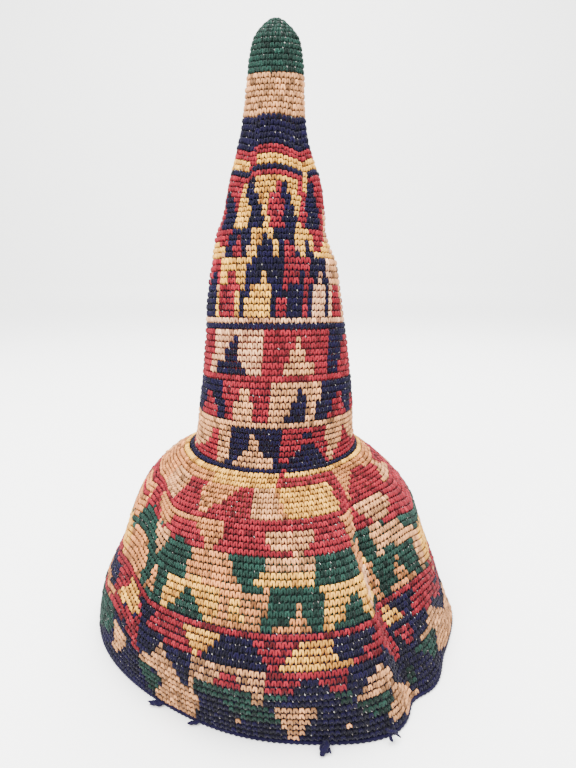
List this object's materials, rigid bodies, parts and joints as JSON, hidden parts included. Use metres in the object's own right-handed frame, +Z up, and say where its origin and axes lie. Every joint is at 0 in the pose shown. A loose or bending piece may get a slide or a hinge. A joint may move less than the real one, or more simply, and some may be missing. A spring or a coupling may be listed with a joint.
{
  "type": "crocheted prestige hat",
  "caption": "Tall crocheted ceremonial hat: a hollow tapering spire over a flared, softly folded skirt that stands on its rolled navy rim, with four loose yarn ends at the hem.",
  "frame": {"origin": "middle of the hat's bounding box, in the plane that the rim stands on", "axes": "+Z up to the tip, -Y towards the front as the picture shows it, +X to the viewer's right"},
  "size_m": [0.2788, 0.295, 0.43],
  "materials": {
    "crochet": "single crochet in matte cotton yarn, worked in navy, red, green, tan and yellow",
    "hem_yarn": "matte twisted navy cotton yarn"
  },
  "bodies": {
    "root": {"crochet_shell": "crochet", "hem_yarn_end_left": "hem_yarn", "hem_yarn_end_mid_left": "hem_yarn", "hem_yarn_knot": "hem_yarn", "hem_yarn_loop": "hem_yarn"}
  },
  "joints": []
}
